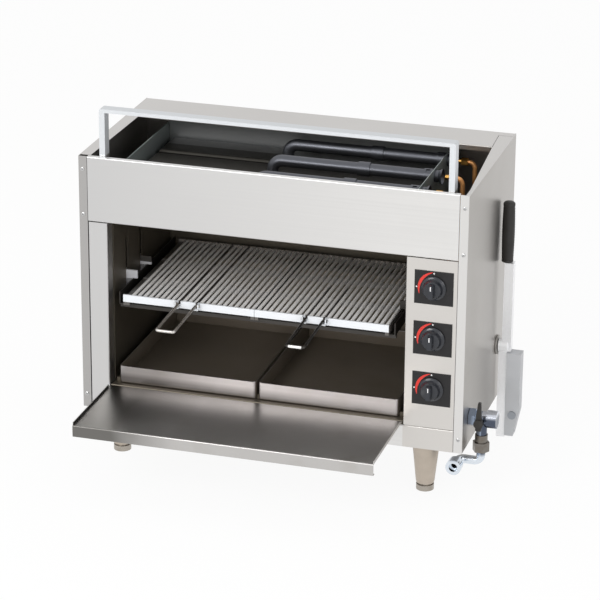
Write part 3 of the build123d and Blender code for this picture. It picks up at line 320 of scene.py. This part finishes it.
def knob_plastic():
    s = Shader("knob_plastic", (0.010, 0.012, 0.018), 0.3)
    s.set("Coat Weight", 0.3)
    s.tint(s.ramp(s.noise(120.0, 3.0), 0.5, 0.8, 0, 0.5), (0.022, 0.024, 0.03))
    s.roughen(s.noise(50.0, 3.0), 0.22, 0.42)
    return s.bump(s.noise(1100.0, 2.0), 0.06, 0.0002).material


def door_steel():
    """Handled sheet with a painted dark reflection over its left part and a strip of painted shade near
    its hinge.
    """
    s = steel("door_steel", (0.56, 0.545, 0.53), (0.32, 0.42), "flat", streak=0.09)
    s.tint(s.ramp(s.noise(14.0, 6.0), 0.56, 0.72, 0, 0.25), (0.44, 0.41, 0.37))
    # painted shade: a darker strip near the hinge, deeper to the left
    hinge_shade = s.maths("MULTIPLY", s.ramp(s.split("Y"), *DOOR_SHADE_Y),
                   s.ramp(s.split("X"), RIGHT_X, LEFT_X, 0, 0.75))
    s.tint(hinge_shade, (0.27, 0.26, 0.25))
    # painted dark reflection over the left part, with a ragged edge
    reflection_edge = s.maths("ADD", s.split("X"), s.ramp(s.noise(6.0, 3.0), 0.3, 0.7, -0.02, 0.02))
    return s.tint(s.ramp(reflection_edge, DOOR_REFLECTION_X[1], DOOR_REFLECTION_X[0], 0, 0.84), (0.12, 0.115, 0.105)).material


def tray_steel():
    """Bright front and rims, painted shade to the left and low down, and a painted dark reflection within.
    """
    s = steel("tray_steel", (0.55, 0.52, 0.515), (0.3, 0.42), "across")
    s.tint(s.ramp(s.noise(16.0, 6.0), 0.5, 0.7, 0, 0.3), (0.43, 0.385, 0.35))
    # painted shade: darker towards the left
    s.tint(s.ramp(s.split("X"), RIGHT_X, LEFT_X, 0, 0.35), (0.38, 0.355, 0.35))
    # painted shade low down near the deck, deeper to the left
    foot = s.maths("MULTIPLY", s.ramp(s.split("Z"), TRAY_FOOT_Z + 0.012, TRAY_FOOT_Z),
                   s.ramp(s.split("X"), RIGHT_X, LEFT_X, 0.15, 0.85))
    s.tint(foot, (0.16, 0.145, 0.14))
    # painted dark reflection of the cavity over the tray's floor and walls, in faint random patches
    behind = s.ramp(s.split("Y"), TRAY_INNER_Y - 0.0002, TRAY_INNER_Y + 0.0002)
    below = s.ramp(s.split("Z"), TRAY_RIM_Z, TRAY_RIM_Z - 0.002)
    patchy = s.ramp(s.noise(11.0, 5.0), 0.3, 0.7, 0.88, 1.0)
    cavity_reflection = s.maths("MULTIPLY", s.maths("MULTIPLY", behind, below), patchy)
    s.tint(cavity_reflection, (0.168, 0.14, 0.108))
    s.link(s.ramp(cavity_reflection, 0, 1, 1.0, 0.45), "Metallic")
    return s.material


def grate_steel():
    """Bright ribs darkened to the back, and the bars, feet and handle stays below them, all by painted
    shade.
    """
    s = Shader("grate_steel", (0.95, 0.945, 0.94), 0.34, 0.05)
    s.tint(s.ramp(s.noise(30.0, 5.0), 0.4, 0.75, 0, 0.35), (0.62, 0.59, 0.55))
    # painted shade: darker towards the back, in patches
    patches = s.ramp(s.noise(9.0, 4.0), 0.3, 0.7, -0.03, 0.03)
    depth = s.maths("ADD", s.split("Y"), patches)
    s.tint(s.ramp(depth, *GRATE_FADE_Y[0], 0, 0.35), (0.50, 0.475, 0.45))
    s.tint(s.ramp(depth, *GRATE_FADE_Y[1], 0, 0.45), (0.34, 0.32, 0.30))
    # painted shade at the back
    back = s.ramp(s.split("Y"), GRATE_BACK_Y, GRATE_BACK_Y + 0.001)
    s.tint(back, (0.17, 0.155, 0.14))
    front = s.ramp(s.split("Y"), GRATE_RIM_Y, GRATE_RIM_Y - 0.0005)
    s.tint(front, (0.70, 0.72, 0.75))
    # painted shade on the bars under the ribs and on the feet
    behind = s.ramp(s.split("Y"), GRATE_RIM_Y, GRATE_RIM_Y + 0.0005)
    bars = s.maths("MULTIPLY", behind, s.ramp(s.split("Z"), GRATE_BAR_Z, GRATE_BAR_Z - 0.0004))
    feet = s.ramp(s.split("Z"), GRATE_FOOT_Z, GRATE_FOOT_Z - 0.0004)
    s.tint(s.maths("MAXIMUM", bars, feet), (0.10, 0.092, 0.085))
    # painted shade on the stays to the handles
    for wire_x in STAY_X:
        off = s.maths("ABSOLUTE", s.maths("SUBTRACT", s.split("X"), wire_x))
        level = s.ramp(s.split("Z"), STAY_LOW_Z, STAY_LOW_Z + 0.0004)
        s.tint(s.maths("MULTIPLY", s.ramp(off, *STAY_HALF), level), (0.03, 0.026, 0.023))
    return s.roughen(s.noise(60.0, 4.0), 0.28, 0.45).bump(s.noise(400.0, 2.0), 0.05, 0.0003).material


def wire_chrome():
    """Dark wire, with painted light on the left handle and painted highlights on the tips."""
    s = Shader("wire_chrome", (0.05, 0.046, 0.042), 0.35, 0.7)
    # painted light: the left handle paler than the right
    left = s.ramp(s.split("X"), GRATE_GAP_X + 0.001, GRATE_GAP_X - 0.001)
    s.tint(left, (0.36, 0.33, 0.30))
    s.tint(s.ramp(s.noise(60.0, 4.0), 0.45, 0.75, 0, 0.4), (0.09, 0.08, 0.07))
    # painted highlights on the tips, on the right handle only in the middle
    tip = s.ramp(s.split("Y"), HANDLE_TIP_Y + 0.012, HANDLE_TIP_Y + 0.004)
    s.tint(s.maths("MULTIPLY", tip, left), (0.60, 0.575, 0.545))
    off = s.maths("ABSOLUTE", s.maths("SUBTRACT", s.split("X"), RIGHT_HANDLE_X))
    s.tint(s.maths("MULTIPLY", tip, s.ramp(off, *TIP_HALF)), (0.95, 0.94, 0.92))
    return s.roughen(s.noise(90.0, 3.0), 0.25, 0.45).material


def rack_steel():
    """Painted light and shade: dark rails, bright brackets through the left wall but for the rear one's
    upper part.
    """
    # painted shade: the rails kept dark
    s = steel("rack_steel", (0.08, 0.075, 0.07), (0.4, 0.55), "flat", metallic=0.95)
    # painted light on the brackets through the left wall
    s.tint(s.ramp(s.split("X"), RACK_LEFT_X, RACK_LEFT_X - 0.001), (0.60, 0.60, 0.63))
    # painted light, brighter still, on the brackets' upper parts
    lug = s.maths("MULTIPLY", s.ramp(s.split("X"), LUG_X, LUG_X - 0.001),
                  s.ramp(s.split("Z"), LUG_Z - 0.001, LUG_Z))
    s.tint(lug, (0.72, 0.72, 0.75))
    s.link(s.ramp(lug, 0, 1, 0.95, 0.3), "Metallic")
    # painted shade on the rear bracket's upper part
    shaded = s.maths("MULTIPLY", s.ramp(s.split("Y"), REAR_LUG_Y, REAR_LUG_Y + 0.001),
                     s.ramp(s.split("Z"), REAR_LUG_TOP_Z, REAR_LUG_TOP_Z + 0.001))
    s.tint(shaded, (0.07, 0.065, 0.06))
    # painted light on the parts outside the right side
    s.tint(s.ramp(s.split("X"), OUTSIDE_X, OUTSIDE_X + 0.0005), (0.40, 0.385, 0.365))
    return s.material


def lever_steel():
    return steel("lever_steel", (0.93, 0.935, 0.95), (0.32, 0.45), "back", metallic=0.4).material


def black_grip():
    s = Shader("black_grip", (0.011, 0.0095, 0.008), 0.55)
    s.tint(s.ramp(s.noise(60.0, 4.0), 0.5, 0.8, 0, 0.6), (0.024, 0.021, 0.018))
    s.roughen(s.noise(45.0, 3.0), 0.38, 0.6)
    return s.bump(s.noise(700.0, 3.0), 0.15, 0.0004).material


def grey_paint():
    """Pale grey paint, with the bolt in bare steel."""
    s = Shader("grey_paint", (0.52, 0.53, 0.55), 0.45)
    s.tint(s.ramp(s.noise(22.0, 4.0), 0.45, 0.75, 0, 0.4), (0.46, 0.475, 0.495))
    bolt = s.ramp(s.split("Y"), WEIGHT_FRONT_Y - 0.0002, WEIGHT_FRONT_Y - 0.0006)
    s.tint(bolt, (0.34, 0.36, 0.39))
    s.link(s.ramp(bolt, 0, 1, 0.0, 0.9), "Metallic")
    s.roughen(s.noise(18.0, 3.0), 0.36, 0.55)
    return s.bump(s.noise(450.0, 3.0), 0.08, 0.0004).material


def fitting_chrome():
    s = Shader("fitting_chrome", (0.27, 0.32, 0.41), 0.16, 1.0)
    s.tint(s.ramp(s.noise(50.0, 4.0), 0.5, 0.75, 0, 0.5), (0.17, 0.205, 0.27))
    # painted shade on the cock's barrel, with a painted highlight along its top
    barrel = s.ramp(s.split("X"), BARREL_X, BARREL_X + 0.001)
    s.tint(barrel, (0.085, 0.10, 0.135))
    upper = s.ramp(s.split("Z"), BARREL_Z, BARREL_Z + 0.008)
    s.tint(s.maths("MULTIPLY", barrel, upper), (0.60, 0.62, 0.68))
    # painted light on the inlet's end
    s.tint(s.ramp(s.split("Z"), *INLET_Z), (0.74, 0.79, 0.85))
    return s.roughen(s.noise(35.0, 4.0), 0.1, 0.3).material


def dull_nut():
    s = Shader("dull_nut", (0.215, 0.20, 0.18), 0.35, 1.0)
    s.tint(s.ramp(s.noise(80.0, 4.0), 0.45, 0.7, 0, 0.6), (0.17, 0.14, 0.11))
    return s.roughen(s.noise(60.0, 3.0), 0.25, 0.45).material


def cast_foot():
    s = Shader("cast_foot", (0.52, 0.455, 0.385), 0.4, 0.85)
    s.tint(s.ramp(s.noise(35.0, 5.0), 0.4, 0.75, 0, 0.5), (0.40, 0.345, 0.285))
    s.roughen(s.noise(30.0, 4.0), 0.3, 0.5)
    return s.bump(s.noise(500.0, 3.0), 0.08, 0.0004).material


def foot_pad():
    s = Shader("foot_pad", (0.42, 0.385, 0.34), 0.38, 0.9)
    s.tint(s.ramp(s.noise(70.0, 4.0), 0.45, 0.75, 0, 0.5), (0.28, 0.25, 0.21))
    return s.bump(s.noise(1.0, 1.0, stretch=(60, 60, 900)), 0.1, 0.0004).material


def screw_chrome():
    s = Shader("screw_chrome", (0.62, 0.62, 0.62), 0.25, 1.0)
    s.tint(s.ramp(s.noise(200.0, 3.0), 0.45, 0.7, 0, 0.5), (0.40, 0.40, 0.40))
    return s.roughen(s.noise(150.0, 3.0), 0.2, 0.4).material


def mark_paint(name, colour):
    s = Shader(name, colour, 0.4)
    s.tint(s.ramp(s.noise(300.0, 3.0), 0.5, 0.75, 0, 0.5), scaled(colour, 0.78))
    return s.roughen(s.noise(200.0, 2.0), 0.32, 0.5).material


MAKERS = {
    "front_steel": front_steel,
    "side_steel": side_steel,
    "cavity_steel": cavity_steel,
    "burner_steel": burner_steel,
    "ceramic": ceramic,
    "tube_steel": tube_steel,
    "brass": turned_brass,
    "pipe_copper": copper_pipe,
    "manifold_steel": manifold_steel,
    "knob_plate": knob_plate,
    "knob": knob_plastic,
    "door_steel": door_steel,
    "tray_steel": tray_steel,
    "grate_steel": grate_steel,
    "handle_wire": wire_chrome,
    "rack_steel": rack_steel,
    "lever_steel": lever_steel,
    "lever_grip": black_grip,
    "counterweight": grey_paint,
    "fitting_chrome": fitting_chrome,
    "union_brass": dull_nut,
    "cock_handle": black_grip,
    "foot_aluminium": cast_foot,
    "foot_pad": foot_pad,
    "screw": screw_chrome,
}
materials = {slot: maker() for slot, maker in MAKERS.items()}
materials["red_mark"] = mark_paint("red_mark", (0.62, 0.03, 0.02))
materials["white_mark"] = mark_paint("white_mark", (0.75, 0.75, 0.75))

for entry in frame["record"]["subparts"]:
    node = frame["nodes"][entry["node"]]
    node.data.materials.clear()
    node.data.materials.append(materials[entry["material_slot"]])

# Detail pieces: the knobs, the marks, the grip and the screws, in the cabinet's millimetres
PLATE_FRONT = -1.2
KNOB_PROFILE = [
    (3, 2.2), (25.4, 2.2), (26, 2.8), (26, 4.6), (24.6, 6), (22.5, 6.6), (21.5, 7.4), (20.5, 9.5),
    (19, 16), (18.4, 18.4), (17.4, 19.6), (15.5, 20), (3, 20),
]
KNOB_BAR = [(-5.6, -13), (-4.2, -15), (4.2, -15), (5.6, -13), (5.6, 13), (4.2, 15), (-4.2, 15), (-5.6, 13)]
KNOB_BAR_TOP = [(x * 0.8, y * 0.93) for x, y in KNOB_BAR]
KNOB_POINTER = [(-1, 4), (1, 4), (1, 13.4), (-1, 13.4)]
BAR_LEVEL = (19.5, 10.5)
BAR_TOP_LEVEL = (29.5, 2.0)
POINTER_LEVEL = (31.4, 0.3)
MARK_LEVEL = (0, 0.15)
CRESCENT_OUTER = 34.0
CRESCENT_INNER = 33.2
CRESCENT_WIDE = 5.2
CRESCENT_STEPS = 26
CRESCENT_ANGLES = (95, 205)
DOT = 1.6
DOT_PLACES = ((0, 31.5), (-36.5, 0))
GRIP_FOOT = (857, 306, 321)
GRIP_COLLAR = [(5, 0), (10.5, 0), (12.2, 0.8), (12.8, 2.5), (12.4, 5), (11.4, 6), (12.2, 7)]
GRIP_END = [(13, 130), (12.2, 132.6), (10, 134.8), (5, 136)]
GRIP_SLEEVE = (8, 118)
GRIP_RADIUS = 12.6
GRIP_BELLY = 1.2
GRIP_GROOVES = 40
GROOVE_DEEP = 0.35
FRONT_SCREW_X = (9.5, 831)
FRONT_SCREW_Z = (30, 440, 540)
BACK_SCREW_X = (40, 230, 420, 610, 800)
BACK_SCREW_Z = (20, 290, 540)
BACK = 430
SCREW_RADIUS = 4.0
SCREW_HIGH = 2.2
SCREW_RINGS = (0.35, 0.9, 1.5, 2.0, 2.3, 2.8, 3.4, 3.8, SCREW_RADIUS)
SCREW_TURNS = 40
RECESS_HALF = 0.42
RECESS_REACH = 2.2
RECESS_DEEP = 1.0


def piece(name, mesh, slot, body, replaced=(), material=None, smooth=40):
    """Put a finished bmesh into the scene as a piece of the object."""
    data = bpy.data.meshes.new(name)
    bmesh.ops.recalc_face_normals(mesh, faces=mesh.faces[:])
    mesh.to_mesh(data)
    mesh.free()
    shape = bpy.data.objects.new(name, data)
    bpy.context.scene.collection.objects.link(shape)
    data.materials.append(materials[material or slot])
    for face in data.polygons:
        face.use_smooth = True
    data.set_sharp_from_angle(angle=radians(smooth))
    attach(shape, body)
    if replaced:
        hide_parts(*replaced)


def across(axis):
    """Two directions square to an axis and to each other."""
    side = axis.orthogonal().normalized()
    return side, axis.cross(side)


def skin(mesh, rings):
    """Close a stack of rings with quads between them and a face at each end."""
    turns = len(rings[0])
    for low, high in zip(rings, rings[1:]):
        for step in range(turns):
            nxt = (step + 1) % turns
            mesh.faces.new((low[step], low[nxt], high[nxt], high[step]))
    mesh.faces.new(list(reversed(rings[0])))
    mesh.faces.new(rings[-1])


def lathe(mesh, profile, origin, axis, turns, shape=None):
    """Revolve (radius, height) pairs in millimetres about an axis from an origin."""
    axis = Vector(axis)
    side, up = across(axis)
    rings = []
    for radius, height in profile:
        ring = []
        for step in range(turns):
            angle = 2 * pi * step / turns
            r = radius * (shape(angle, height) if shape else 1)
            out = (side * cos(angle) + up * sin(angle)) * r
            ring.append(mesh.verts.new(origin + (out + axis * height) / 1000))
        rings.append(ring)
    skin(mesh, rings)


def slab(mesh, outline, origin, height, thick):
    """A thin plate in front of an origin, with its outline in millimetres to the right and up."""
    skin(mesh, [[mesh.verts.new(origin + Vector((x, -level, z)) / 1000) for x, z in outline]
                for level in (height, height + thick)])


def arc(radius, first, last, steps):
    """Points on a circle between two angles in degrees."""
    return [(radius * cos(radians(first + (last - first) * i / steps)),
             radius * sin(radians(first + (last - first) * i / steps))) for i in range(steps + 1)]


def fluted(angle, height):
    """The share of a knob's radius that 18 shallow flutes leave at an angle."""
    return 1 - (0.012 * (1 + cos(18 * angle)) if 9 < height < 19 else 0)


# Knobs: a skirt, a fluted body and a tapered grip bar with a pale line
for name, z in zip(KNOB_NAMES, KNOB_Z):
    mesh = bmesh.new()
    knob_origin = at(KNOB_X, 0, z)
    lathe(mesh, KNOB_PROFILE, knob_origin, (0, -1, 0), 72, fluted)
    slab(mesh, KNOB_BAR, knob_origin, *BAR_LEVEL)
    slab(mesh, KNOB_BAR_TOP, knob_origin, *BAR_TOP_LEVEL)
    piece(f"{name}_knob_shape", mesh, "knob", f"{name}_knob", [f"{name}_knob"])
    mesh = bmesh.new()
    slab(mesh, KNOB_POINTER, knob_origin, *POINTER_LEVEL)
    piece(f"{name}_knob_pointer", mesh, "knob", f"{name}_knob", material="white_mark")

# Marks on the knob plates: a red crescent, widest at its middle, and two pale dots
crescent = arc(CRESCENT_OUTER, *CRESCENT_ANGLES, CRESCENT_STEPS)
for step in range(CRESCENT_STEPS + 1):
    share = step / CRESCENT_STEPS
    radius = CRESCENT_INNER - CRESCENT_WIDE * max(0, sin(pi * share)) ** 0.8
    angle = radians(CRESCENT_ANGLES[1] - (CRESCENT_ANGLES[1] - CRESCENT_ANGLES[0]) * share)
    crescent.append((radius * cos(angle), radius * sin(angle)))
mesh = bmesh.new()
for z in KNOB_Z:
    slab(mesh, crescent, at(KNOB_X, PLATE_FRONT, z), *MARK_LEVEL)
piece("heat_marks", mesh, "knob_plate", "cabinet", material="red_mark")
mesh = bmesh.new()
for z in KNOB_Z:
    for dot_x, dot_z in DOT_PLACES:
        slab(mesh, arc(DOT, 0, 337.5, 15), at(KNOB_X + dot_x, PLATE_FRONT, z + dot_z), *MARK_LEVEL)
piece("stop_marks", mesh, "knob_plate", "cabinet", material="white_mark")

# Grip: a slightly bellied sleeve with grooves and a collar
mesh = bmesh.new()
sleeve = []
for step in range(GRIP_GROOVES + 1):
    share = step / GRIP_GROOVES
    groove = GROOVE_DEEP if step % 2 else 0.0
    radius = GRIP_RADIUS + GRIP_BELLY * sin(pi * share) - groove
    sleeve.append((radius, GRIP_SLEEVE[0] + GRIP_SLEEVE[1] * share))
lathe(mesh, GRIP_COLLAR + sleeve + GRIP_END, at(*GRIP_FOOT), (0, 0, 1), 56)
piece("lever_grip_shape", mesh, "lever_grip", "lever", ["lever_grip"], smooth=60)


def screw_head(mesh, centre, axis):
    """A pan head with a cross recess."""
    axis = Vector(axis)
    side, up = across(axis)
    rings = []
    for r in SCREW_RINGS:
        ring = []
        for step in range(SCREW_TURNS):
            angle = 2 * pi * step / SCREW_TURNS
            high = SCREW_HIGH * (1 - 0.45 * (r / SCREW_RADIUS) ** 3)
            if min(abs(r * sin(angle)), abs(r * cos(angle))) < RECESS_HALF and r < RECESS_REACH:
                high -= RECESS_DEEP
            out = (side * cos(angle) + up * sin(angle)) * r
            ring.append(mesh.verts.new(centre + (out + axis * high) / 1000))
        rings.append(ring)
    foot = []
    for step in range(SCREW_TURNS):
        angle = 2 * pi * step / SCREW_TURNS
        foot.append(mesh.verts.new(centre + (side * cos(angle) + up * sin(angle)) * SCREW_RADIUS / 1000))
    skin(mesh, [*rings, foot])


mesh = bmesh.new()
for x in FRONT_SCREW_X:
    for z in FRONT_SCREW_Z:
        screw_head(mesh, at(x, 0, z), (0, -1, 0))
for x in BACK_SCREW_X:
    for z in BACK_SCREW_Z:
        screw_head(mesh, at(x, BACK, z), (0, 1, 0))
piece("panel_screw_heads", mesh, "screw", "cabinet", ["panel_screws"])

# Stage, light and camera
FLOOR_HALF = 30
FLOOR_WHITE = 0.92
SKY_STRENGTH = 0.75

floor_mesh = bmesh.new()
bmesh.ops.create_grid(floor_mesh, x_segments=1, y_segments=1, size=FLOOR_HALF)
floor_data = bpy.data.meshes.new("floor")
floor_mesh.to_mesh(floor_data)
floor_mesh.free()
floor = bpy.data.objects.new("floor", floor_data)
bpy.context.scene.collection.objects.link(floor)
floor_material = bpy.data.materials.new("floor_paper")
floor_material.use_nodes = True
floor_tree = floor_material.node_tree
floor_shader = floor_tree.nodes["Principled BSDF"]
floor_shader.inputs["Base Color"].default_value = (0.93, 0.93, 0.92, 1)
floor_shader.inputs["Roughness"].default_value = 0.9
floor_shader.inputs["Specular IOR Level"].default_value = 0.0
floor_data.materials.append(floor_material)

world = bpy.data.worlds.new("studio")
bpy.context.scene.world = world
world.use_nodes = True
world_tree = world.node_tree
background = world_tree.nodes["Background"]
background.inputs["Color"].default_value = (1, 1, 1, 1)
background.inputs["Strength"].default_value = SKY_STRENGTH


def seen_white(tree, plain, output, white, share):
    """Mix a plain white into what camera, glossy and transmission rays see."""
    path = tree.nodes.new("ShaderNodeLightPath")
    camera_or_glossy = tree.nodes.new("ShaderNodeMath")
    camera_or_glossy.operation = "MAXIMUM"
    tree.links.new(path.outputs["Is Camera Ray"], camera_or_glossy.inputs[0])
    tree.links.new(path.outputs["Is Glossy Ray"], camera_or_glossy.inputs[1])
    any_seen = tree.nodes.new("ShaderNodeMath")
    any_seen.operation = "MAXIMUM"
    tree.links.new(camera_or_glossy.outputs[0], any_seen.inputs[0])
    tree.links.new(path.outputs["Is Transmission Ray"], any_seen.inputs[1])
    part = tree.nodes.new("ShaderNodeMath")
    part.operation = "MULTIPLY"
    part.inputs[1].default_value = share
    tree.links.new(any_seen.outputs[0], part.inputs[0])
    mix = tree.nodes.new("ShaderNodeMixShader")
    tree.links.new(part.outputs[0], mix.inputs[0])
    tree.links.new(plain.outputs[0], mix.inputs[1])
    tree.links.new(white.outputs[0], mix.inputs[2])
    tree.links.new(mix.outputs[0], tree.nodes[output].inputs["Surface"])


glow = floor_tree.nodes.new("ShaderNodeEmission")
glow.inputs["Strength"].default_value = 1.0
seen_white(floor_tree, floor_shader, "Material Output", glow, FLOOR_WHITE)
sky = world_tree.nodes.new("ShaderNodeBackground")
sky.inputs["Color"].default_value = (1, 1, 1, 1)
sky.inputs["Strength"].default_value = 1.0
seen_white(world_tree, background, "World Output", sky, 1.0)


def area_light(name, place, target, size, power):
    data = bpy.data.lights.new(name, "AREA")
    data.shape = "RECTANGLE"
    data.size, data.size_y = size
    data.energy = power
    lamp = bpy.data.objects.new(name, data)
    lamp.location = place
    lamp.rotation_euler = (Vector(target) - Vector(place)).to_track_quat("-Z", "Y").to_euler()
    bpy.context.scene.collection.objects.link(lamp)
    return lamp


# The low light isn't seen in reflections: straight from the front it burned the steel out to white
area_light("key_light", (-1.6, -3.4, 2.6), (0, 0, 0.4), (1.8, 1.4), 60)
low_light = area_light("low_light", (0.5, -4.2, 0.9), (0, 0, 0.35), (2.4, 0.9), 50)
low_light.visible_glossy = False
area_light("fill_light", (2.6, -2.2, 1.6), (0, 0, 0.4), (1.4, 1.4), 14)

# The camera of the photo, fitted to the cabinet's edges
CAMERA_AT = (2030, -5236, 2426)
YAW, PITCH, ROLL = radians(16.43), radians(21.26), radians(0.46)
FOCAL_PX = 2821
PICTURE_PX = 600
SENSOR = 36
forward = Vector((-sin(YAW) * cos(PITCH), cos(YAW) * cos(PITCH), -sin(PITCH)))
right = Vector((cos(YAW), sin(YAW), 0))
up = right.cross(forward)
camera_right = right * cos(ROLL) + up * sin(ROLL)
camera_up = up * cos(ROLL) - right * sin(ROLL)
camera_data = bpy.data.cameras.new("camera")
camera_data.sensor_width = SENSOR
camera_data.lens = FOCAL_PX / PICTURE_PX * SENSOR
camera_data.clip_end = 100
camera = bpy.data.objects.new("camera", camera_data)
rotation = Matrix((camera_right, camera_up, -forward)).transposed()
camera.matrix_world = Matrix.Translation(at(*CAMERA_AT)) @ rotation.to_4x4()
bpy.context.scene.collection.objects.link(camera)
bpy.context.scene.camera = camera
bpy.context.scene.view_settings.view_transform = "Standard"
